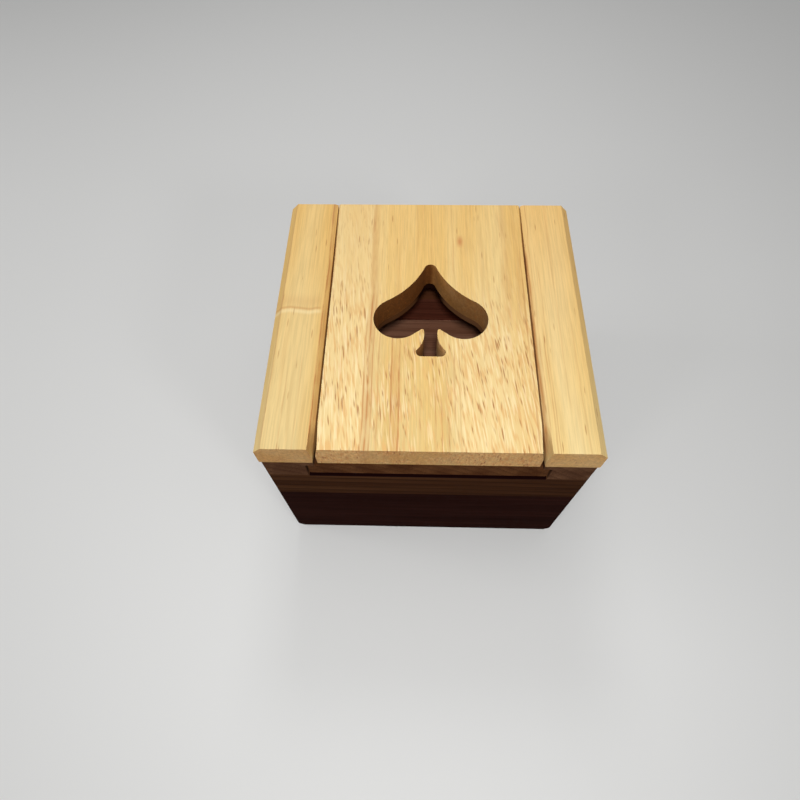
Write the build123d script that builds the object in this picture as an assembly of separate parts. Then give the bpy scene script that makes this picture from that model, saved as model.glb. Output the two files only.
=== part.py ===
from build123d import *
import os

# A four-layer wooden box for playing cards. A light lid panel with a spade cut through it is glued on
# a dark tongue, which slides towards the front in a T-shaped slot between two dark rails. A second
# dark layer, the collar, frames the card compartment's mouth. Under the compartment's floor, a shallow
# drawer pulls out at the back.
# Frame: origin at the middle of the underside, +X to the right, +Y to the back, +Z up. Millimetres.

# ---- Driving dimensions ----

# Outside
box_width = 133.0
box_depth = 129.0
box_height = 99.6
cap_thickness = 12.8
rail_height = 13.3
collar_height = 21.5
dark_inset = 0.5
corner_radius = 1.0
top_edge_chamfer = 3.3
bottom_edge_chamfer = 3.2

# Walls and floors
end_wall_thickness = 19.0
side_wall_thickness = 18.5
card_bay_width = 66.0
floor_thickness = 6.0
base_thickness = 6.0
drawer_bay_height = 21.5

# Lid
lid_width = 86.6
tongue_width = 95.8
tongue_thickness = 10.2
neck_height = 3.2
pocket_width = 68.0
pocket_margin = 6.0
pocket_corner_radius = 8.0

# Clearances of the lid in its slot
panel_gap = 0.4
slot_gap = 1.9
tongue_side_gap = 1.0
shoulder_gap = 0.25
runner_gap = 0.2
stop_gap = 0.3
panel_lift = 0.3

# Edges beside the lid: bevels that flatten out towards the back and open into a mouth at the front
strip_top_gap = 2.1
strip_bevel_depth = 1.7
panel_bevel_width = 0.7
panel_bevel_depth = 6.0
bevel_depth_back = 0.5
mouth_length = 12.0
mouth_gap = 1.6
mouth_top_gap = 2.5
mouth_bevel_depth = 8.0
mouth_panel_bevel_width = 1.4
strip_foot_bevel_width = 0.5
strip_foot_bevel_height = 3.5
tongue_edge_chamfer = 0.6

# Spade cut-out: rises and drops are measured along the spade, insets and widths across it
spade_width = 48.6
spade_height = 49.1
spade_from_front = 42.0
spade_right_of_centre = 0.7
tip_half_width = 2.5
tip_drop = 1.5
tip_shoulder_width = 1.6
tip_shoulder_drop = 0.45
flank_sag = 2.2
lobe_radius = 10.5
lobe_rise = 19.2
lobe_top_angle = 57
lobe_middle_angle = -35
lobe_end_angle = -132
crease_width = 1.4
crease_drop = 6.1
crease_crest_width = 0.7
crease_crest_drop = 5.6
crease_stem_drop = 6.1
stem_half_width = 2.95
stem_flare = 0.5
stem_flare_rise = 7.0
foot_half_width = 6.05
foot_top_inset = 0.1
foot_top_rise = 3.0
foot_side_rise = 1.6
foot_end_inset = 1.9

# Runner strips
runner_set_in = 2.9

# Drawer
drawer_side_gap = 0.4
drawer_top_gap = 0.4
drawer_floor_gap = 0.2
drawer_end_gap = 0.3
drawer_front_thickness = 12.0
drawer_wall_thickness = 5.0
drawer_wall_height = 17.0
drawer_bottom_thickness = 3.0
drawer_bottom_rise = 2.5
drawer_groove_depth = 2.5
drawer_groove_gap = 0.1
finger_notch_radius = 9.0
drawer_edge_chamfer = 0.6

# ---- Levels and faces worked out from them ----

front = -box_depth / 2
back = box_depth / 2
half_width = box_width / 2
dark_half_width = half_width - dark_inset

top_level = box_height
cap_level = top_level - cap_thickness
rail_level = cap_level - rail_height
collar_level = rail_level - collar_height

bay_front = front + end_wall_thickness
bay_back = back - end_wall_thickness
bay_half_width = dark_half_width - side_wall_thickness
card_half_width = card_bay_width / 2
floor_underside = base_thickness + drawer_bay_height
floor_level = floor_underside + floor_thickness

lid_half_width = lid_width / 2
slot_half_width = lid_half_width + slot_gap
mouth_end = front + mouth_length
tongue_half_width = tongue_width / 2
web_half_width = tongue_half_width + tongue_side_gap
tongue_level = cap_level - tongue_thickness
shoulder_level = cap_level - neck_height
lip_level = shoulder_level + shoulder_gap

tiny = 0.01


# ---- Shared operations ----

def block(x_low, x_high, y_low, y_high, z_low, z_high):
    """A board between two corners."""
    centre = ((x_low + x_high) / 2, (y_low + y_high) / 2, (z_low + z_high) / 2)
    return Pos(*centre) * Box(x_high - x_low, y_high - y_low, z_high - z_low)


def along_y(section, y_low, y_high):
    """A board with an X-Z section, from y_low to y_high."""
    plane = Plane(origin=(0, y_low, 0), x_dir=(1, 0, 0), z_dir=(0, -1, 0))
    face = make_face(Polyline(*section, close=True))
    return extrude(plane * face, amount=-(y_high - y_low))


def tapered_along_y(*stations):
    """A board whose X-Z section changes evenly from each station's to the next."""
    faces = [
        Plane(origin=(0, y, 0), x_dir=(1, 0, 0), z_dir=(0, -1, 0)) * make_face(Polyline(*section, close=True))
        for y, section in stations
    ]
    return loft(faces, ruled=True)


def mirrored_x(solid):
    return mirror(solid, about=Plane.YZ)


def outer_shape():
    """What the dark layers fill: eased upright corners and a chamfer along each lower side edge."""
    plan = RectangleRounded(2 * dark_half_width, box_depth, corner_radius)
    column = extrude(plan, amount=cap_level)
    inner = dark_half_width - bottom_edge_chamfer
    section = [
        (-inner, 0),
        (inner, 0),
        (dark_half_width, bottom_edge_chamfer),
        (dark_half_width, cap_level),
        (-dark_half_width, cap_level),
        (-dark_half_width, bottom_edge_chamfer),
    ]
    return column & along_y(section, front, back)


def spade_face():
    """The spade, tip towards the back, as two mirrored rows of arcs."""
    base = front + spade_from_front
    tip = base + spade_height
    lobe = Vector(spade_width / 2 - lobe_radius, base + lobe_rise)
    lobe_top = lobe + Vector(lobe_radius, 0).rotate(Axis.Z, lobe_top_angle)
    lobe_middle = lobe + Vector(lobe_radius, 0).rotate(Axis.Z, lobe_middle_angle)
    lobe_end = lobe + Vector(lobe_radius, 0).rotate(Axis.Z, lobe_end_angle)
    tip_side = Vector(tip_half_width, tip - tip_drop)
    tip_shoulder = Vector(tip_shoulder_width, tip - tip_shoulder_drop)
    flank_normal = (tip_side - lobe_top).normalized().rotate(Axis.Z, 90)
    flank_middle = (lobe_top + tip_side) * 0.5 + flank_normal * flank_sag
    crease_outer = Vector(stem_half_width + crease_width, lobe.Y - crease_drop)
    crease_crest = Vector(stem_half_width + crease_crest_width, lobe.Y - crease_crest_drop)
    crease_inner = Vector(stem_half_width, lobe.Y - crease_stem_drop)
    stem_middle = Vector(stem_half_width + stem_flare, base + stem_flare_rise)
    foot_top = Vector(foot_half_width - foot_top_inset, base + foot_top_rise)
    foot_side = Vector(foot_half_width, base + foot_side_rise)
    foot_end = Vector(foot_half_width - foot_end_inset, base)
    half = Curve() + [
        ThreePointArc((0, tip), tip_shoulder, tip_side),
        ThreePointArc(tip_side, flank_middle, lobe_top),
        ThreePointArc(lobe_top, lobe_middle, lobe_end),
        Line(lobe_end, crease_outer),
        ThreePointArc(crease_outer, crease_crest, crease_inner),
        ThreePointArc(crease_inner, stem_middle, foot_top),
        ThreePointArc(foot_top, foot_side, foot_end),
        Line(foot_end, (0, base)),
    ]
    face = make_face(half + mirror(half, about=Plane.YZ))
    return Pos(spade_right_of_centre, 0) * face


def spade_cutter(z_low, z_high):
    return extrude(Pos(0, 0, z_low) * spade_face(), amount=z_high - z_low)


# ---- Lid ----

def panel_section(bevel_width, bevel_depth):
    right = [
        (lid_half_width, cap_level),
        (lid_half_width, top_level - bevel_depth),
        (lid_half_width - bevel_width, top_level),
    ]
    return right + [(-x, z) for x, z in reversed(right)]


def make_lid_panel():
    panel = tapered_along_y(
        (front, panel_section(mouth_panel_bevel_width, panel_bevel_depth)),
        (mouth_end, panel_section(panel_bevel_width, panel_bevel_depth)),
        (back, panel_section(panel_bevel_width, bevel_depth_back)),
    )
    return panel - spade_cutter(cap_level - tiny, top_level + tiny)


def make_lid_tongue():
    edge = tongue_edge_chamfer
    neck = lid_half_width
    section = [
        (-tongue_half_width + edge, tongue_level),
        (tongue_half_width - edge, tongue_level),
        (tongue_half_width, tongue_level + edge),
        (tongue_half_width, shoulder_level),
        (neck, shoulder_level),
        (neck, cap_level),
        (-neck, cap_level),
        (-neck, shoulder_level),
        (-tongue_half_width, shoulder_level),
        (-tongue_half_width, tongue_level + edge),
    ]
    tongue = along_y(section, front, bay_back - stop_gap)
    pocket_low = front + spade_from_front - pocket_margin
    pocket_length = spade_height + 2 * pocket_margin
    pocket_plan = RectangleRounded(pocket_width, pocket_length, pocket_corner_radius)
    pocket_centre = Pos(0, pocket_low + pocket_length / 2, tongue_level)
    tongue -= extrude(pocket_centre * pocket_plan, amount=shoulder_level - tongue_level)
    tongue -= spade_cutter(tongue_level - tiny, cap_level + tiny)
    return tongue


# ---- Fixed top ----

def strip_section(top_gap, face_gap, bevel_depth):
    face = lid_half_width + face_gap
    return [
        (face + strip_foot_bevel_width, cap_level),
        (half_width, cap_level),
        (half_width, top_level - top_edge_chamfer),
        (half_width - top_edge_chamfer, top_level),
        (lid_half_width + top_gap, top_level),
        (face, top_level - bevel_depth),
        (face, cap_level + strip_foot_bevel_height),
    ]


def make_cap_strip():
    return tapered_along_y(
        (front, strip_section(mouth_top_gap, mouth_gap, mouth_bevel_depth)),
        (mouth_end, strip_section(strip_top_gap, panel_gap, strip_bevel_depth)),
        (back, strip_section(strip_top_gap, panel_gap, bevel_depth_back)),
    )


def make_slide_rail():
    section = [
        (web_half_width, rail_level),
        (dark_half_width, rail_level),
        (dark_half_width, cap_level),
        (slot_half_width, cap_level),
        (slot_half_width, lip_level),
        (web_half_width, lip_level),
    ]
    return along_y(section, front, back) & outer_shape()


def make_rear_stop_bar():
    crown = cap_level - panel_lift
    section = [
        (-web_half_width, rail_level),
        (web_half_width, rail_level),
        (web_half_width, lip_level),
        (slot_half_width, lip_level),
        (slot_half_width, crown),
        (-slot_half_width, crown),
        (-slot_half_width, lip_level),
        (-web_half_width, lip_level),
    ]
    return along_y(section, bay_back, back)


# ---- Collar ----

def make_collar_end(y_low, y_high):
    board = block(-dark_half_width, dark_half_width, y_low, y_high, collar_level, rail_level)
    return board & outer_shape()


def make_collar_side():
    return block(card_half_width, dark_half_width, bay_front, bay_back, collar_level, rail_level)


def make_lid_runner():
    outer = tongue_half_width - runner_set_in
    top = tongue_level - runner_gap
    return block(card_half_width, outer, bay_front, bay_back, rail_level, top)


# ---- Body ----

def make_front_wall():
    board = block(-dark_half_width, dark_half_width, front, bay_front, 0, collar_level)
    return board & outer_shape()


def make_back_wall():
    return block(-bay_half_width, bay_half_width, bay_back, back, floor_underside, collar_level)


def make_side_wall():
    return block(bay_half_width, dark_half_width, bay_front, back, 0, collar_level) & outer_shape()


def make_compartment_floor():
    return block(-bay_half_width, bay_half_width, bay_front, bay_back, floor_underside, floor_level)


def make_card_guide():
    return block(card_half_width, bay_half_width, bay_front, bay_back, floor_level, collar_level)


def make_base_board():
    return block(-bay_half_width, bay_half_width, bay_front, back, 0, base_thickness)


# ---- Drawer ----

drawer_half_width = bay_half_width - drawer_side_gap
drawer_inner_half_width = drawer_half_width - drawer_wall_thickness
drawer_low = base_thickness + drawer_floor_gap
drawer_high = floor_underside - drawer_top_gap
drawer_wall_high = drawer_low + drawer_wall_height
drawer_inner_end = bay_front + drawer_end_gap
drawer_front_face = back - drawer_front_thickness
bottom_level = drawer_low + drawer_bottom_rise


def drawer_bottom_block(gap):
    """The bottom panel, or with a gap the grooves that hold it."""
    half = drawer_inner_half_width + drawer_groove_depth
    y_low = drawer_inner_end + drawer_wall_thickness - drawer_groove_depth
    y_high = drawer_front_face + drawer_groove_depth
    z_high = bottom_level + drawer_bottom_thickness
    return block(-half - gap, half + gap, y_low - gap, y_high + gap, bottom_level - gap, z_high + gap)


def make_drawer_front():
    edge = drawer_edge_chamfer
    section = [
        (-drawer_half_width, drawer_low),
        (drawer_half_width, drawer_low),
        (drawer_half_width, drawer_high),
        (-drawer_half_width, drawer_high),
    ]
    board = along_y(section, drawer_front_face, back)
    outside = board.faces().sort_by(Axis.Y)[-1].edges()
    board = chamfer(outside, edge)
    notch = Pos(0, (drawer_front_face + back) / 2, drawer_high) * Rot(90, 0, 0) * Cylinder(
        finger_notch_radius, drawer_front_thickness + 2 * tiny
    )
    board -= notch
    return board - drawer_bottom_block(drawer_groove_gap)


def make_drawer_side():
    board = block(
        drawer_inner_half_width, drawer_half_width,
        drawer_inner_end, drawer_front_face,
        drawer_low, drawer_wall_high,
    )
    return board - drawer_bottom_block(drawer_groove_gap)


def make_drawer_back():
    board = block(
        -drawer_inner_half_width, drawer_inner_half_width,
        drawer_inner_end, drawer_inner_end + drawer_wall_thickness,
        drawer_low, drawer_wall_high,
    )
    return board - drawer_bottom_block(drawer_groove_gap)


def make_drawer_bottom():
    return drawer_bottom_block(0)


# ---- Parts ----

cap_strip = make_cap_strip()
slide_rail = make_slide_rail()
collar_side = make_collar_side()
lid_runner = make_lid_runner()
side_wall = make_side_wall()
card_guide = make_card_guide()
drawer_side = make_drawer_side()

parts = {
    "lid_panel": make_lid_panel(),
    "lid_tongue": make_lid_tongue(),
    "cap_strip_left": mirrored_x(cap_strip),
    "cap_strip_right": cap_strip,
    "slide_rail_left": mirrored_x(slide_rail),
    "slide_rail_right": slide_rail,
    "rear_stop_bar": make_rear_stop_bar(),
    "collar_front": make_collar_end(front, bay_front),
    "collar_back": make_collar_end(bay_back, back),
    "collar_left": mirrored_x(collar_side),
    "collar_right": collar_side,
    "lid_runner_left": mirrored_x(lid_runner),
    "lid_runner_right": lid_runner,
    "front_wall": make_front_wall(),
    "back_wall": make_back_wall(),
    "side_wall_left": mirrored_x(side_wall),
    "side_wall_right": side_wall,
    "compartment_floor": make_compartment_floor(),
    "card_guide_left": mirrored_x(card_guide),
    "card_guide_right": card_guide,
    "base_board": make_base_board(),
    "drawer_front": make_drawer_front(),
    "drawer_side_left": mirrored_x(drawer_side),
    "drawer_side_right": drawer_side,
    "drawer_back": make_drawer_back(),
    "drawer_bottom": make_drawer_bottom(),
}

os.makedirs("parts", exist_ok=True)
for name, solid in parts.items():
    export_step(solid, f"parts/{name}.step")
    print(name, round(solid.volume), "mm3", len(solid.solids()), "solid")
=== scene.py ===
import math
import bpy
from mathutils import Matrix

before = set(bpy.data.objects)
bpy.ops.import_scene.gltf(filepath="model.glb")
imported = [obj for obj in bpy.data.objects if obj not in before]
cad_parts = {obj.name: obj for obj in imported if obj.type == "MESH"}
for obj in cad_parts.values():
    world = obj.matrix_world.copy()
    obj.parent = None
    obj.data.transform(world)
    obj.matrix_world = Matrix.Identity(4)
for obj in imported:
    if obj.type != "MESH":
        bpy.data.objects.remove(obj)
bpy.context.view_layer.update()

# A wooden card box: each board is a CAD node that gets its own cut of procedural wood, with the grain
# along the axis that the board has. Lengths in the materials are millimetres, elsewhere metres. Places
# on the lid and the strips are given from the middle of the box and from its front face.

MM = 0.001


# ---- Places taken from the boards, in mm ----

def reach(node, axis, end):
    """How far a board goes along an axis; end is min or max."""
    return end(corner["XYZ".index(axis)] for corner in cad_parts[node].bound_box) / MM


BOX_FRONT = reach("front_wall", "Y", min)
COLLAR_TOP = reach("collar_front", "Z", max)
LINE_REACH = reach("lid_tongue", "X", max) + 0.7
INNER_FACE = reach("back_wall", "Y", min) + 0.02
INNER_FADE = 0.05

# ---- Camera: the photograph's view ----

CAMERA_PLACE = (-0.0062, -0.1460, 0.2882)
CAMERA_TURN = (28.69, 0.82, 1.37)
CAMERA_LENS = 24.87
SENSOR_WIDTH = 36.0
CLIP_START = 0.01

# ---- Lamps: name, place, width, power; the one near the camera lights the inside through the spade ----

LAMPS = (
    ("beside the camera", (-0.006, -0.180, 0.360), 0.030, 0.60),
    ("front left", (-0.72, -0.81, 0.73), 0.25, 1.0),
    ("front right", (0.72, -0.81, 0.73), 0.25, 1.7),
    ("above the back", (-0.03, 0.35, 0.55), 0.20, 0.78),
    ("low on the left", (-0.80, 0.05, 0.36), 0.25, 1.1),
)
SKY_STRENGTH = 0.30
SKY_SEEN = 0.50

# ---- Colours, linear; a pair of tints is for the back and the front, a walnut is base, pale and deep ----

CREAM = (0.84, 0.62, 0.29)
GOLD = (0.80, 0.525, 0.185)
HONEY = (0.70, 0.40, 0.14)
AMBER = (0.50, 0.215, 0.06)
PORE = (0.38, 0.140, 0.030)
PALE = (0.93, 0.79, 0.47)
END_TINT = (0.80, 0.61, 0.45)
RUST = (0.60, 0.27, 0.08)
# The back and front tints of the top boards are partly the wood's own colour and partly painted light and
# shade from back to front.
LID_TINTS = ((1.01, 0.95, 0.78), (0.84, 0.88, 0.88))
LEFT_TINTS = ((0.97, 0.90, 0.73), (0.82, 0.83, 0.79))
RIGHT_TINTS = ((1.00, 0.88, 0.68), (0.93, 1.0, 1.08))
# Painted shade on the lid's spade walls, darkest on the left; STEM_RIGHT is painted light, paler than the
# wood.
SPADE_LEFT = (0.26, 0.18, 0.15)
SPADE_RIGHT = (0.42, 0.37, 0.38)
SPADE_UPPER = (0.72, 0.68, 0.78)
STEM_LEFT = (0.60, 0.55, 0.66)
STEM_RIGHT = (1.06, 1.24, 1.90)
# Painted shade on the tongue's part of the spade's walls, darker on the left.
TONGUE_LEFT = (0.130, 0.052, 0.019)
TONGUE_RIGHT = (0.170, 0.078, 0.034)
# The walnuts darken from the rails down to the body, partly the boards' own colour and partly painted
# shade; the rim, inside and floor tones, lighter than the outside of the same boards, are painted light.
WALNUT_SLOT = ((0.080, 0.028, 0.010), (0.130, 0.053, 0.020), (0.034, 0.010, 0.004))
WALNUT_RAIL = ((0.092, 0.040, 0.020), (0.140, 0.066, 0.034), (0.040, 0.014, 0.007))
WALNUT_COLLAR = ((0.046, 0.016, 0.006), (0.078, 0.031, 0.012), (0.018, 0.006, 0.003))
WALNUT_BODY = ((0.0145, 0.0028, 0.0016), (0.026, 0.0064, 0.0040), (0.008, 0.0017, 0.0012))
WALNUT_RIM = ((0.165, 0.056, 0.024), (0.210, 0.076, 0.034), (0.070, 0.020, 0.009))
WALNUT_INSIDE = ((0.140, 0.036, 0.020), (0.190, 0.060, 0.034), (0.060, 0.014, 0.009))
WALNUT_FLOOR = ((0.260, 0.108, 0.058), (0.340, 0.165, 0.100), (0.120, 0.044, 0.022))
# Painted shadow: black for the gap under the lid's tongue and at the spade's tip.
SHADE_BLACK = (0.009, 0.002, 0.002)
FLOOR_SEEN = (0.76, 0.76, 0.75)
FLOOR_LIT = (0.35, 0.35, 0.34)
WHITE = (1.0, 1.0, 1.0)

# ---- Surfaces and edges: gloss is the shader's specular level, lengths are mm, angles degrees ----

LIGHT_GLOSS = 0.30
LIGHT_ROUGHNESS = (0.46, 0.60)
DARK_GLOSS = 0.004
DARK_ROUGHNESS = (0.52, 0.66)
BUMP_STRENGTH = 0.5
BUMP_DEPTH = 0.10
EDGE_WIDTH = 0.25
FLAT_ANGLE = 0.5
SHARP_ANGLE = 40.0
FLOOR_SIZE = 6.0
FLOOR_ROUGHNESS = 0.7
FLOOR_GLOSS = 0.1


# ---- Node helpers ----

def colour(value):
    """A colour of three numbers gets its fourth; sockets stay as they are."""
    return (*value, 1.0) if isinstance(value, tuple) and len(value) == 3 else value


class Tree:
    """Short calls for building a material's nodes; a value is a number, a colour or an output socket."""

    def __init__(self, name):
        self.material = bpy.data.materials.new(name)
        self.material.use_nodes = True
        self.nodes = self.material.node_tree.nodes
        self.links = self.material.node_tree.links
        self.shader = self.nodes["Principled BSDF"]

    def feed(self, socket, value):
        if isinstance(value, bpy.types.NodeSocket):
            self.links.new(value, socket)
        elif value is not None:
            socket.default_value = value

    def add(self, kind, inputs, output=0, **settings):
        node = self.nodes.new(kind)
        for key, value in settings.items():
            setattr(node, key, value)
        for key, value in inputs.items():
            self.feed(node.inputs[key], value)
        return node.outputs[output]

    def math(self, operation, a, b=None, c=None):
        return self.add("ShaderNodeMath", {0: a, 1: b, 2: c}, operation=operation)

    def times(self, *values):
        product = values[0]
        for value in values[1:]:
            product = self.math("MULTIPLY", product, value)
        return product

    def vector(self, operation, a, b):
        return self.add("ShaderNodeVectorMath", {0: a, 1: b}, operation=operation)

    def split(self, a):
        return self.add("ShaderNodeSeparateXYZ", {0: a}).node.outputs

    def join(self, x, y, z):
        return self.add("ShaderNodeCombineXYZ", {0: x, 1: y, 2: z})

    def grey(self, value):
        return self.join(value, value, value)

    def noise(self, place, cell, detail=2.0, roughness=0.5, output=0):
        """Noise whose blots are about a cell in size, the cell's three lengths being mm."""
        place = self.vector("DIVIDE", place, cell)
        inputs = {"Vector": place, "Scale": 1.0, "Detail": detail, "Roughness": roughness}
        return self.add("ShaderNodeTexNoise", inputs, output=output)

    def span(self, value, low, high, to_low=0.0, to_high=1.0, smooth=True):
        """Takes low to to_low and high to to_high, and stops there."""
        kind = "SMOOTHSTEP" if smooth else "LINEAR"
        inputs = {0: value, 1: low, 2: high, 3: to_low, 4: to_high}
        return self.add("ShaderNodeMapRange", inputs, interpolation_type=kind, clamp=True)

    def near(self, value, centre, reach):
        """1 at the centre, falling to 0 at the reach."""
        away = self.math("ABSOLUTE", self.math("SUBTRACT", value, centre))
        return self.span(away, 0.0, reach, 1.0, 0.0)

    def blend(self, factor, a, b, kind="MIX"):
        node = self.nodes.new("ShaderNodeMix")
        node.data_type = "RGBA"
        node.blend_type = kind
        self.feed(node.inputs["Factor"], factor)
        self.feed(node.inputs["A"], colour(a))
        self.feed(node.inputs["B"], colour(b))
        return node.outputs["Result"]

    def tint(self, tone, factor):
        return self.blend(1.0, tone, factor, kind="MULTIPLY")


# ---- Wood ----

GRAIN_ORDER = {"X": (1, 0, 2), "Y": (0, 1, 2)}
SEED_STEPS = (37.1, 91.7, 53.3)
WANDER = 1.6
FACES_END = (0.55, 0.85)
UPRIGHT = (0.15, 0.45)
PORE_DEPTH = 4.0
PORE_CORE = 0.35
STREAK_FADE = 6.0
STREAK_WOBBLE = 1.2


def grain_space(tree, axis):
    """The place on the board in mm as (across, along, across), straight from the frame's metres."""
    coordinates = tree.add("ShaderNodeTexCoord", {}, output="Object")
    place = tree.vector("DIVIDE", coordinates, (MM, MM, MM))
    parts = tree.split(place)
    return tree.join(*(parts[i] for i in GRAIN_ORDER[axis]))


def wandered(tree, place, seed):
    """The same place, moved by the seed and wandering sideways, so that each board has its own grain."""
    moved = tree.vector("ADD", place, tuple(seed * step for step in SEED_STEPS))
    slow = tree.noise(moved, (50.0, 170.0, 50.0), detail=1.0, output=1)
    centred = tree.vector("SUBTRACT", slow, (0.5, 0.5, 0.5))
    return tree.vector("ADD", moved, tree.vector("MULTIPLY", centred, (2 * WANDER, 0.0, 2 * WANDER)))


def end_grain(tree, axis):
    """1 on the faces that the grain runs into, 0 on the others."""
    normal = tree.add("ShaderNodeTexCoord", {}, output="Normal")
    along = tree.split(normal)["XYZ".index(axis)]
    return tree.span(tree.math("ABSOLUTE", along), *FACES_END)


def all_cut(tree, axis):
    """1 on every upright face: the ends, the sides and the spade's walls, whichever way the grain runs."""
    normal = tree.add("ShaderNodeTexCoord", {}, output="Normal")
    return tree.span(tree.math("ABSOLUTE", tree.split(normal)[2]), *UPRIGHT, 1.0, 0.0)


def leaning(tree, place, lean):
    """The place, sheared so that marks lean to the right by `lean` per mm towards the front."""
    x, y, z = tree.split(place)[0:3]
    return tree.join(tree.math("ADD", x, tree.math("MULTIPLY", y, lean)), y, z)


def turned(tree, place, axis):
    """The place with its cross directions swapped on sideways faces, so that pores are alike on all."""
    normal = tree.add("ShaderNodeTexCoord", {}, output="Normal")
    aside = tree.math("ABSOLUTE", tree.split(normal)[GRAIN_ORDER[axis][0]])
    x, y, z = tree.split(place)[0:3]
    return tree.blend(tree.math("GREATER_THAN", aside, 0.8), place, tree.join(z, y, x))


def pores(tree, place, across, along, size, share):
    """Dashes in a share of the cells; size is how much of a cell's width a dash takes."""
    cell_place = tree.vector("DIVIDE", place, (across, along, across * PORE_DEPTH))
    cells = tree.add("ShaderNodeTexVoronoi", {"Vector": cell_place, "Scale": 1.0}).node.outputs
    dash = tree.span(cells["Distance"], size * PORE_CORE, size, 1.0, 0.0)
    chosen = tree.math("LESS_THAN", tree.split(cells["Color"])[0], share)
    return tree.math("MULTIPLY", dash, chosen)


def rings(tree, place, pith, spacing, slope, sharpness):
    """Growth rings round a pith beside the board, as a soft saw-tooth from 0 to 1."""
    x, y, z = tree.split(place)[0:3]
    dx = tree.math("ADD", tree.math("SUBTRACT", x, pith[0]), tree.math("MULTIPLY", y, slope))
    dz = tree.math("SUBTRACT", z, pith[1])
    square = tree.math("ADD", tree.times(dx, dx), tree.times(dz, dz))
    phase = tree.math("FRACT", tree.math("DIVIDE", tree.math("SQRT", square), spacing))
    return tree.math("POWER", phase, sharpness)


def finish_wood(tree, tone, relief, fine, roughness, gloss):
    """Feeds the shader; the fibres take the roughness from its first value to its second."""
    bump_inputs = {"Strength": BUMP_STRENGTH, "Distance": BUMP_DEPTH * MM, "Height": relief}
    tree.feed(tree.shader.inputs["Base Color"], tone)
    tree.feed(tree.shader.inputs["Normal"], tree.add("ShaderNodeBump", bump_inputs))
    tree.feed(tree.shader.inputs["Roughness"], tree.span(fine, 0.2, 0.8, *roughness, smooth=False))
    tree.shader.inputs["Specular IOR Level"].default_value = gloss
    return tree.material


def light_base(tree, moved):
    """Cream and gold bands with finer ones in them, and the fibres."""
    broad = tree.noise(moved, (13.0, 220.0, 13.0))
    middle = tree.noise(moved, (2.4, 70.0, 2.4))
    fine = tree.noise(moved, (0.6, 18.0, 0.6), detail=3.0, roughness=0.6)
    tone = tree.blend(tree.span(broad, 0.32, 0.68), CREAM, GOLD)
    tone = tree.blend(tree.span(middle, 0.50, 0.78, 0.0, 0.30), tone, HONEY)
    tone = tree.tint(tone, tree.grey(tree.span(fine, 0.3, 0.72, 1.06, 0.90)))
    return tone, fine


def end_figure(tree, tone, place):
    """Sawn across the fibres: browner, mottled, with small dark specks."""
    mottle = tree.noise(place, (1.3, 1.3, 1.3), detail=3.0, roughness=0.65)
    speck = tree.span(tree.noise(place, (0.7, 0.7, 0.7), detail=1.0), 0.60, 0.72, 0.0, 0.35)
    tone = tree.tint(tree.tint(tone, END_TINT), tree.grey(tree.span(mottle, 0.3, 0.7, 1.10, 0.84)))
    return tree.blend(speck, tone, PORE)


def with_streaks(tree, tone, place, streaks, clear):
    """Long streaks along the grain, fainter where clear is under 1."""
    across, along = tree.split(place)[0:2]
    broken = tree.span(tree.noise(place, (3.0, 14.0, 3.0)), 0.38, 0.58, 0.45, 1.0)
    slow = tree.noise(place, (25.0, 35.0, 25.0))
    across = tree.math("ADD", across, tree.math("MULTIPLY_ADD", slow, 2 * STREAK_WOBBLE, -STREAK_WOBBLE))
    for centre, half_width, strength, start, end in streaks:
        near = tree.near(across, centre, half_width)
        first = BOX_FRONT + start
        last = BOX_FRONT + end
        begun = tree.span(along, first - STREAK_FADE, first + STREAK_FADE)
        ended = tree.span(along, last - STREAK_FADE, last + STREAK_FADE, 1.0, 0.0)
        tone = tree.blend(tree.times(near, begun, ended, broken, clear, strength), tone, AMBER)
    return tone


def light_wood(name, axis, seed):
    """Pale hardwood with brown pore dashes."""
    tree = Tree(name)
    place = grain_space(tree, axis)
    moved = wandered(tree, place, seed)
    tone, fine = light_base(tree, moved)
    dash = pores(tree, turned(tree, moved, axis), across=0.8, along=6.0, size=0.36, share=0.12)
    dash = tree.times(dash, 0.6)
    return finish_light(tree, tone, dash, fine, place, end_grain(tree, axis))


def top_wood(name, seed, tints, streaks, figure, sawn):
    """A board of the box's top: light wood, tinted from back to front, partly the wood's own colour and
    partly painted shade, with its own streaks and figure.
    """
    tree = Tree(name)
    place = grain_space(tree, "Y")
    moved = wandered(tree, place, seed)
    tone, fine = light_base(tree, moved)
    nearness = tree.span(tree.split(place)[1], -BOX_FRONT, BOX_FRONT, smooth=False)
    tone = tree.tint(tone, tree.blend(nearness, *tints))
    patch = tree.span(tree.noise(moved, (9.0, 35.0, 9.0)), 0.42, 0.58, 0.12, 0.85)
    dash = pores(tree, turned(tree, moved, "Y"), across=0.9, along=10.0, size=0.32, share=0.22)
    dash = tree.times(dash, patch)
    tone, dash = figure(tree, tone, dash, place, moved)
    cut = sawn(tree, "Y")
    tone = with_streaks(tree, tone, place, streaks, tree.span(cut, 0.0, 1.0, 1.0, 0.35))
    return finish_light(tree, tone, dash, fine, place, cut)


def finish_light(tree, tone, dash, fine, place, sawn):
    """Adds the pores and, where the board is sawn across, its end grain."""
    tone = tree.blend(tree.times(dash, 0.85), tone, PORE)
    tone = tree.blend(sawn, tone, end_figure(tree, tone, place))
    relief = tree.math("SUBTRACT", tree.times(fine, 0.35), tree.times(dash, 0.15))
    return finish_wood(tree, tone, relief, fine, LIGHT_ROUGHNESS, LIGHT_GLOSS)


def no_mark(tree, tone, place):
    """A board without a mark of its own."""
    return tone


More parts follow.
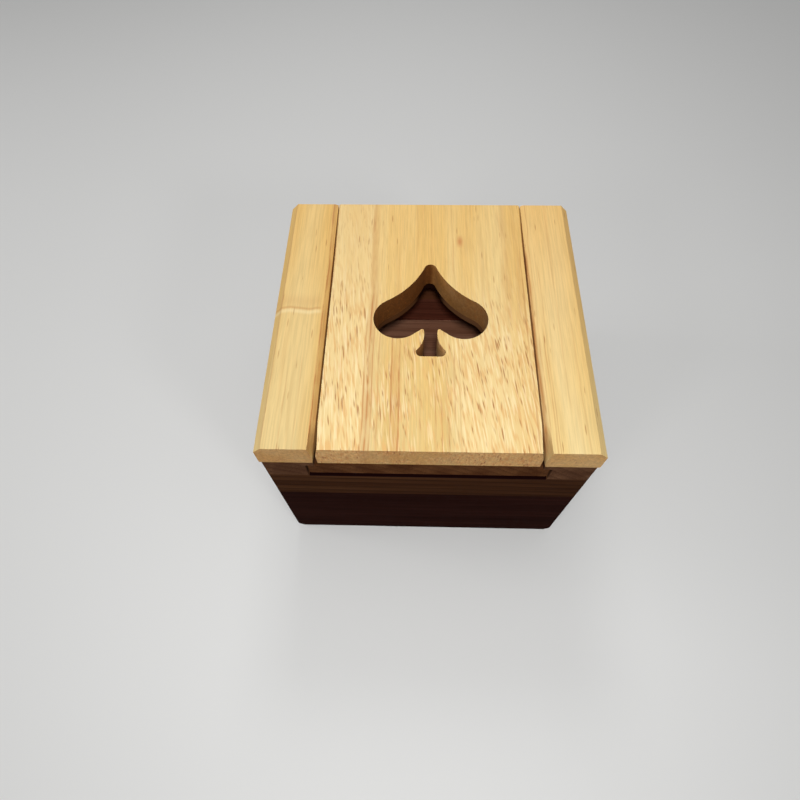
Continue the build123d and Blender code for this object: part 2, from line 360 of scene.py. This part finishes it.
def slot_shadow_mark(tree, tone, place):
    """The collar's front board, black in its top millimetre under the lid's tongue: a painted shadow of
    the gap there.
    """
    along, height = tree.split(place)[1:3]
    shadow_band = tree.span(height, COLLAR_TOP - 1.0, COLLAR_TOP - 0.5)
    in_slot = tree.math("LESS_THAN", tree.math("ABSOLUTE", along), LINE_REACH)
    return tree.blend(tree.times(shadow_band, in_slot), tone, SHADE_BLACK)


def tongue_spade_shade(tree, tone, place):
    """The tongue's part of the spade's walls: painted shade like the lid's, darker on the left, and a
    painted black shadow at the tip.
    """
    across, along = tree.split(place)[0:2]
    painted_shading = tree.blend(tree.span(across, *SPADE_MIDDLE), TONGUE_LEFT, TONGUE_RIGHT)
    painted_shading = tree.blend(tree.span(along, *SPADE_TIP), painted_shading, SHADE_BLACK)
    return tree.blend(tree.times(spade_walls(tree, place), 0.90), tone, painted_shading)


def dark_wood(name, axis, seed, tones, figure, mark=no_mark, inner_tones=None):
    """Dark hardwood: brown bands along the grain and fine black pores; figure is how strong its rings are.

    Inner tones are for a back board's inside face, and the tones for the rest of it; the inner ones are
    much lighter, which is painted light.
    """
    tree = Tree(name)
    place = grain_space(tree, axis)
    if inner_tones:
        inner = tree.span(tree.split(place)[0], INNER_FACE, INNER_FACE + INNER_FADE, 1.0, 0.0)
        tones = [tree.blend(inner, outside, inside) for outside, inside in zip(tones, inner_tones)]
    base, pale, deep = tones
    moved = wandered(tree, place, seed)
    broad = tree.noise(moved, (9.0, 170.0, 9.0), detail=3.0)
    fine = tree.noise(moved, (0.6, 30.0, 0.6), detail=3.0, roughness=0.6)
    ring = rings(tree, moved, pith=(-35.0, -45.0), spacing=4.0, slope=0.06, sharpness=2.5)
    tone = tree.blend(tree.span(broad, 0.35, 0.7), base, pale)
    tone = tree.blend(tree.times(ring, figure), tone, deep)
    tone = tree.tint(tone, tree.grey(tree.span(fine, 0.3, 0.75, 1.15, 0.75)))
    dash = pores(tree, turned(tree, moved, axis), across=0.7, along=7.0, size=0.28, share=0.5)
    tone = tree.blend(tree.times(dash, 0.5), tone, deep)
    tone = mark(tree, tone, place)
    relief = tree.math("SUBTRACT", tree.times(fine, 0.35), dash)
    return finish_wood(tree, tone, relief, fine, DARK_ROUGHNESS, DARK_GLOSS)


# ---- The lid's own figure ----
# A streak has a place across, a half width, a strength, and a start and an end from the box's front.

LID_STREAKS = (
    (-24.3, 2.6, 0.42, -10, 140),
    (-25.2, 1.2, 0.60, 88, 140),
    (-26.0, 0.55, 0.83, -10, 60),
    (-24.4, 0.55, 0.90, -10, 78),
    (-22.8, 0.50, 0.68, -10, 70),
    (-20.4, 0.45, 0.52, 2, 70),
    (-13.6, 2.4, 0.38, -10, 50),
    (-15.2, 0.60, 0.90, 5, 62),
    (-12.0, 0.60, 0.90, -10, 48),
    (2.4, 0.45, 0.60, 4, 30),
    (4.8, 0.45, 0.75, -10, 22),
    (7.4, 0.40, 0.52, -10, 14),
    (10.0, 0.55, 0.68, 14, 44),
    (12.0, 0.40, 0.38, -10, 70),
    (1.2, 0.70, 0.27, 95, 140),
    (11.0, 0.50, 0.38, 85, 140),
    (-5.0, 0.60, 0.27, 90, 140),
    (34.0, 3.0, 0.27, 60, 140),
    (39.0, 2.0, 0.24, 60, 140),
    (40.8, 0.60, 0.60, -10, 100),
    (42.9, 0.80, 0.90, -10, 115),
    (-42.9, 0.50, 0.40, 45, 140),
)
LID_SPOT = (14.2, 105.2)
LID_SPOT_SIZE = (2.2, 5.0)
SPADE_REACH = (27.0, 31.0)
SPADE_MIDDLE = (0.5, 3.5)
SPADE_STEM = (-13.0, -8.0)
SPADE_TOP = (8.0, 20.0)
SPADE_TIP = (16.0, 21.0)


def spade_walls(tree, place):
    """1 on the walls of the spade, 0 on the other faces."""
    across, along = tree.split(place)[0:2]
    near_across = tree.math("LESS_THAN", tree.math("ABSOLUTE", across), SPADE_REACH[0])
    near_along = tree.math("LESS_THAN", tree.math("ABSOLUTE", along), SPADE_REACH[1])
    return tree.times(near_across, near_along, all_cut(tree, "Y"))


def spade_shade(tree, place):
    """White but on the spade's walls, which carry painted shade, darkest on the left.

    The walls' tint changes from left to right in the middle, and along the box at the stem and the top; on
    the stem's right wall it is painted light, paler than the wood.
    """
    across, along = tree.split(place)[0:2]
    walls = spade_walls(tree, place)
    right = tree.blend(tree.span(along, *SPADE_TOP), SPADE_RIGHT, SPADE_UPPER)
    painted_shading = tree.blend(tree.span(across, *SPADE_MIDDLE), SPADE_LEFT, right)
    stem = tree.blend(tree.span(across, *SPADE_MIDDLE), STEM_LEFT, STEM_RIGHT)
    painted_shading = tree.blend(tree.span(along, *SPADE_STEM), stem, painted_shading)
    return tree.blend(walls, WHITE, painted_shading)


def with_spot(tree, tone, place):
    """The orange spot near the lid's back."""
    across, along = tree.split(place)[0:2]
    near_across = tree.near(across, LID_SPOT[0], LID_SPOT_SIZE[0])
    near_along = tree.near(along, BOX_FRONT + LID_SPOT[1], LID_SPOT_SIZE[1])
    return tree.blend(tree.times(near_across, near_along), tone, RUST)


def lid_figure(tree, tone, dash, place, moved):
    """Dense leaning dashes on the left and at the front, a paler left side, one orange spot, and the
    painted shade on the spade's walls.
    """
    across, along = tree.split(place)[0:2]
    left = tree.span(across, -27.0, -24.0, 1.0, 0.0)
    right = tree.span(across, 6.0, 16.0)
    front = tree.span(along, BOX_FRONT + 40.0, BOX_FRONT + 90.0, 1.0, 0.12)
    patch = tree.span(tree.noise(moved, (9.0, 30.0, 9.0)), 0.38, 0.56, 0.15, 1.0)
    left_dense = tree.times(left, tree.span(along, -10.0, 35.0, 1.0, 0.30))
    right_dense = tree.times(right, front)
    dense = tree.math("MAXIMUM", left_dense, tree.math("MAXIMUM", right_dense, tree.times(front, patch)))
    long_dash = pores(tree, leaning(tree, moved, 0.10), across=1.3, along=16.0, size=0.34, share=0.7)
    short_dash = pores(tree, leaning(tree, moved, 0.15), across=1.1, along=9.0, size=0.34, share=0.7)
    leaning_dash = tree.math("MAXIMUM", long_dash, short_dash)
    uneven = tree.span(tree.noise(moved, (1.8, 6.0, 1.8), detail=1.0), 0.36, 0.60, 0.20, 1.0)
    dash = tree.math("MAXIMUM", dash, tree.times(leaning_dash, dense, uneven))
    ribbon = tree.span(tree.noise(leaning(tree, moved, 0.15), (0.9, 8.0, 2.5), detail=1.0), 0.47, 0.66)
    paler = tree.math("MAXIMUM", tree.times(left, 0.5), tree.times(right_dense, 0.5))
    tone = tree.blend(paler, tone, CREAM)
    tone = tree.blend(tree.times(ribbon, dense, 0.75), tone, HONEY)
    white = tree.span(tree.noise(leaning(tree, moved, 0.08), (0.7, 14.0, 2.5), detail=1.0), 0.52, 0.64)
    tone = tree.blend(tree.times(white, dense, 0.40), tone, PALE)
    return tree.tint(with_spot(tree, tone, place), spade_shade(tree, place)), dash


# ---- The strips' own figure ----

LEFT_STREAKS = (
    (-45.3, 0.60, 0.95, -10, 140),
    (-44.2, 1.10, 0.55, 10, 140),
    (-63.5, 0.8, 0.31, -10, 140),
    (-57.0, 0.4, 0.38, -10, 34),
    (-51.5, 0.4, 0.38, -10, 40),
)
RIGHT_STREAKS = (
    (43.9, 0.90, 0.80, -10, 100),
    (45.4, 0.35, 0.49, -10, 140),
    (47.4, 0.45, 0.56, -10, 55),
    (48.4, 0.35, 0.42, -10, 90),
    (54.5, 0.5, 0.25, 20, 140),
    (59.5, 0.5, 0.25, -10, 60),
)

# The mark across the left strip: bands beside it, each with its place, half width, strength and colour.
CROSS_MARK = 65.0
CROSS_END = (-47.5, -45.5)
CROSS_PALE = (0.90, 0.74, 0.42)
CROSS_BANDS = (
    (4.5, 5.5, 0.18, AMBER),
    (0.9, 1.1, 0.45, AMBER),
    (-0.9, 1.7, 0.40, CROSS_PALE),
)


def cross_mark(tree, tone, dash, place, moved):
    """A brown line with a pale one beside it, straight across the left strip."""
    across, along = tree.split(place)[0:2]
    wobble = tree.math("SUBTRACT", tree.noise(place, (9.0, 400.0, 9.0)), 0.5)
    level = tree.math("ADD", along, tree.times(wobble, 3.0))
    inside = tree.span(across, *CROSS_END, 1.0, 0.0)
    for offset, half_width, strength, band in CROSS_BANDS:
        near = tree.near(level, BOX_FRONT + CROSS_MARK + offset, half_width)
        tone = tree.blend(tree.times(near, inside, strength), tone, band)
    return tone, dash


def no_figure(tree, tone, dash, place, moved):
    """A strip without a figure of its own."""
    return tone, dash


# ---- Dressing the nodes ----

def dress(node, material):
    """Gives a CAD node its material and breaks its sharp edges very slightly."""
    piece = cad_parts[node]
    piece.data.materials.clear()
    piece.data.materials.append(material)
    clean = piece.modifiers.new("flat faces", "DECIMATE")
    clean.decimate_type = "DISSOLVE"
    clean.angle_limit = math.radians(FLAT_ANGLE)
    edge = piece.modifiers.new("broken edges", "BEVEL")
    edge.width = EDGE_WIDTH * MM
    edge.segments = 2
    edge.limit_method = "ANGLE"
    edge.angle_limit = math.radians(SHARP_ANGLE)


def dress_light():
    """The lid's panel, the two strips and the drawer's tray."""
    for node, seed, tints, streaks, figure, sawn in (
        ("lid_panel", 1, LID_TINTS, LID_STREAKS, lid_figure, all_cut),
        ("cap_strip_left", 2, LEFT_TINTS, LEFT_STREAKS, cross_mark, end_grain),
        ("cap_strip_right", 3, RIGHT_TINTS, RIGHT_STREAKS, no_figure, end_grain),
    ):
        dress(node, top_wood(f"light wood, {node}", seed, tints, streaks, figure, sawn))
    for seed, node, axis in (
        (23, "drawer_side_left", "Y"),
        (24, "drawer_side_right", "Y"),
        (25, "drawer_back", "X"),
        (26, "drawer_bottom", "X"),
    ):
        dress(node, light_wood(f"light wood, {node}", axis, seed))


def dress_dark():
    """The lid's tongue, the rails, the collar, the body and the drawer's front."""
    dress("collar_front", dark_wood("dark wood, collar_front", "X", 8, WALNUT_COLLAR, 0.6, slot_shadow_mark))
    for seed, node, tones, inner_tones in (
        (9, "collar_back", WALNUT_COLLAR, WALNUT_RIM),
        (15, "back_wall", WALNUT_BODY, WALNUT_INSIDE),
    ):
        dress(node, dark_wood(f"dark wood, {node}", "X", seed, tones, 0.4, no_mark, inner_tones))
    dress("lid_tongue", dark_wood("dark wood, lid_tongue", "Y", 4, WALNUT_SLOT, 0.4, tongue_spade_shade))
    for seed, node, axis, tones, figure in (
        (5, "slide_rail_left", "Y", WALNUT_RAIL, 0.4),
        (6, "slide_rail_right", "Y", WALNUT_RAIL, 0.4),
        (7, "rear_stop_bar", "X", WALNUT_SLOT, 0.6),
        (10, "collar_left", "Y", WALNUT_COLLAR, 0.6),
        (11, "collar_right", "Y", WALNUT_COLLAR, 0.6),
        (12, "lid_runner_left", "Y", WALNUT_SLOT, 0.6),
        (13, "lid_runner_right", "Y", WALNUT_SLOT, 0.6),
        (14, "front_wall", "X", WALNUT_BODY, 0.4),
        (16, "side_wall_left", "Y", WALNUT_BODY, 0.4),
        (17, "side_wall_right", "Y", WALNUT_BODY, 0.4),
        (18, "compartment_floor", "X", WALNUT_FLOOR, 0.4),
        (19, "card_guide_left", "Y", WALNUT_INSIDE, 0.5),
        (20, "card_guide_right", "Y", WALNUT_INSIDE, 0.5),
        (21, "base_board", "X", WALNUT_BODY, 0.4),
        (22, "drawer_front", "X", WALNUT_COLLAR, 0.5),
    ):
        dress(node, dark_wood(f"dark wood, {node}", axis, seed, tones, figure))


# ---- Floor, light and camera ----

def make_floor():
    """A pale floor, darker to the light that bounces off it than to the eye."""
    bpy.ops.mesh.primitive_plane_add(size=FLOOR_SIZE, location=(0.0, 0.0, 0.0))
    floor = bpy.context.object
    floor.name = "floor"
    tree = Tree("floor")
    ray = tree.nodes.new("ShaderNodeLightPath").outputs
    seen = tree.math("MAXIMUM", ray["Is Camera Ray"], ray["Is Glossy Ray"])
    seen = tree.math("MAXIMUM", seen, ray["Is Transmission Ray"])
    tree.feed(tree.shader.inputs["Base Color"], tree.blend(seen, FLOOR_LIT, FLOOR_SEEN))
    tree.shader.inputs["Roughness"].default_value = FLOOR_ROUGHNESS
    tree.shader.inputs["Specular IOR Level"].default_value = FLOOR_GLOSS
    floor.data.materials.append(tree.material)


def make_lamp(name, place, width, energy):
    """A round lamp that points at the middle of the box's underside."""
    lamp = bpy.data.lights.new(name, "AREA")
    lamp.shape = "DISK"
    lamp.size = width
    lamp.energy = energy
    holder = bpy.data.objects.new(name, lamp)
    bpy.context.collection.objects.link(holder)
    holder.location = place
    holder.rotation_euler = holder.location.to_track_quat("Z", "Y").to_euler()


def make_world():
    """A plain sky, brighter to the eye than the light that it gives."""
    world = bpy.data.worlds.new("studio")
    world.use_nodes = True
    back = world.node_tree.nodes["Background"]
    back.inputs["Color"].default_value = colour(WHITE)
    nodes = world.node_tree.nodes
    links = world.node_tree.links
    ray = nodes.new("ShaderNodeLightPath").outputs
    seen = ray["Is Camera Ray"]
    for kind in ("Is Glossy Ray", "Is Transmission Ray"):
        either = nodes.new("ShaderNodeMath")
        either.operation = "MAXIMUM"
        links.new(seen, either.inputs[0])
        links.new(ray[kind], either.inputs[1])
        seen = either.outputs[0]
    strength = nodes.new("ShaderNodeMapRange")
    strength.inputs["To Min"].default_value = SKY_STRENGTH
    strength.inputs["To Max"].default_value = SKY_SEEN
    links.new(seen, strength.inputs["Value"])
    links.new(strength.outputs[0], back.inputs["Strength"])
    bpy.context.scene.world = world


def make_camera():
    """The photograph's view of the box."""
    data = bpy.data.cameras.new("camera")
    data.lens = CAMERA_LENS
    data.sensor_width = SENSOR_WIDTH
    data.clip_start = CLIP_START
    camera = bpy.data.objects.new("camera", data)
    bpy.context.collection.objects.link(camera)
    camera.location = CAMERA_PLACE
    camera.rotation_euler = tuple(math.radians(turn) for turn in CAMERA_TURN)
    bpy.context.scene.camera = camera


bpy.context.scene.view_settings.view_transform = "Standard"
dress_light()
dress_dark()
make_floor()
for lamp in LAMPS:
    make_lamp(*lamp)
make_world()
make_camera()
